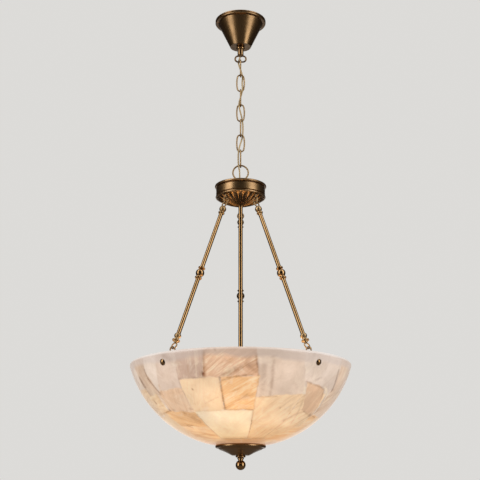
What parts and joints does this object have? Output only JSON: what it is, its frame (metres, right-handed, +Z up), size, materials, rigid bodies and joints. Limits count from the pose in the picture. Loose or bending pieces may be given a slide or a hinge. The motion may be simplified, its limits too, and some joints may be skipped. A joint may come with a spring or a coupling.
{
  "type": "bowl pendant light",
  "caption": "Alabaster bowl pendant: a wide stone bowl on jointed brass arms from a fluted hub, chain and canopy, with bulbs inside and a ball finial.",
  "frame": {"origin": "middle of the crossbar's top face, in the ceiling plane, on the pendant's axis", "axes": "+Z up; -Y towards the viewer; the crossbar's slots lie along X"},
  "size_m": [0.5072, 0.5072, 1.1073],
  "materials": {
    "aged_brass": "aged, brushed and lacquered",
    "dark_brass": "aged brass, darker in the flutes",
    "steel": "zinc plated",
    "alabaster": "polished translucent stone slabs with brown veins",
    "porcelain": "glazed porcelain",
    "frosted_glass": "frosted",
    "bulb_cap_metal": "rolled thread",
    "felt": "pressed felt",
    "fibre": "vulcanised fibre",
    "flex_cover": "clear brown insulation over twisted wires"
  },
  "bodies": {
    "canopy_assembly": {"crossbar": "steel", "ground_screw": "steel", "ceiling_pipe": "steel", "lock_nut": "steel", "canopy": "aged_brass", "collar_nut": "aged_brass", "canopy_loop": "aged_brass"},
    "link_1": {"chain_link_1": "aged_brass"},
    "link_2": {"chain_link_2": "aged_brass"},
    "link_3": {"chain_link_3": "aged_brass"},
    "link_4": {"chain_link_4": "aged_brass"},
    "link_5": {"chain_link_5": "aged_brass"},
    "link_6": {"chain_link_6": "aged_brass"},
    "link_7": {"chain_link_7": "aged_brass"},
    "hanging_bowl": {"arm_back_bottom_eye": "aged_brass", "arm_back_knop": "aged_brass", "arm_back_lower_rod": "aged_brass", "arm_back_top_eye": "aged_brass", "arm_back_upper_rod": "aged_brass", "arm_left_bottom_eye": "aged_brass", "arm_left_knop": "aged_brass", "arm_left_lower_rod": "aged_brass", "arm_left_top_eye": "aged_brass", "arm_left_upper_rod": "aged_brass", "arm_right_bottom_eye": "aged_brass", "arm_right_knop": "aged_brass", "arm_right_lower_rod": "aged_brass", "arm_right_top_eye": "aged_brass", "arm_right_upper_rod": "aged_brass", "bolt_nuts": "steel", "bolt_washers": "fibre", "bottom_cap": "aged_brass", "bottom_pipe": "steel", "bowl": "alabaster", "bowl_bolts": "aged_brass", "bracket_back": "aged_brass", "bracket_left": "aged_brass", "bracket_pads": "fibre", "bracket_right": "aged_brass", "bulb_caps": "bulb_cap_metal", "bulb_glass_1": "frosted_glass", "bulb_glass_2": "frosted_glass", "bulb_glass_3": "frosted_glass", "cluster_body": "aged_brass", "dome_nut": "aged_brass", "felt_ring": "felt", "finial": "aged_brass", "flex": "flex_cover", "floor_nut": "steel", "floor_washer": "steel", "fluted_dome": "dark_brass", "hub_coupling": "steel", "hub_cover": "aged_brass", "hub_eyes": "aged_brass", "hub_loop": "aged_brass", "lampholder_1": "porcelain", "lampholder_2": "porcelain", "lampholder_3": "porcelain", "stem": "aged_brass"}
  },
  "joints": [
    {"name": "link_1_hook", "type": "hinge", "parent": "canopy_assembly", "child": "link_1", "pos_m": [0, 0, -0.112], "axis": [1, 0, 0], "range_deg": [-20, 20]},
    {"name": "link_2_hook", "type": "hinge", "parent": "link_1", "child": "link_2", "pos_m": [0, 0, -0.1514], "axis": [0, 1, 0], "range_deg": [-20, 20]},
    {"name": "link_3_hook", "type": "hinge", "parent": "link_2", "child": "link_3", "pos_m": [0, 0, -0.191], "axis": [1, 0, 0], "range_deg": [-20, 20]},
    {"name": "link_4_hook", "type": "hinge", "parent": "link_3", "child": "link_4", "pos_m": [0, 0, -0.2306], "axis": [0, 1, 0], "range_deg": [-20, 20]},
    {"name": "link_5_hook", "type": "hinge", "parent": "link_4", "child": "link_5", "pos_m": [0, 0, -0.2702], "axis": [1, 0, 0], "range_deg": [-20, 20]},
    {"name": "link_6_hook", "type": "hinge", "parent": "link_5", "child": "link_6", "pos_m": [0, 0, -0.3098], "axis": [0, 1, 0], "range_deg": [-20, 20]},
    {"name": "link_7_hook", "type": "hinge", "parent": "link_6", "child": "link_7", "pos_m": [0, 0, -0.3494], "axis": [1, 0, 0], "range_deg": [-20, 20]},
    {"name": "hanging_bowl_hook", "type": "hinge", "parent": "link_7", "child": "hanging_bowl", "pos_m": [0, 0, -0.389], "axis": [0, 1, 0], "range_deg": [-20, 20], "deforming": ["flex"]}
  ]
}
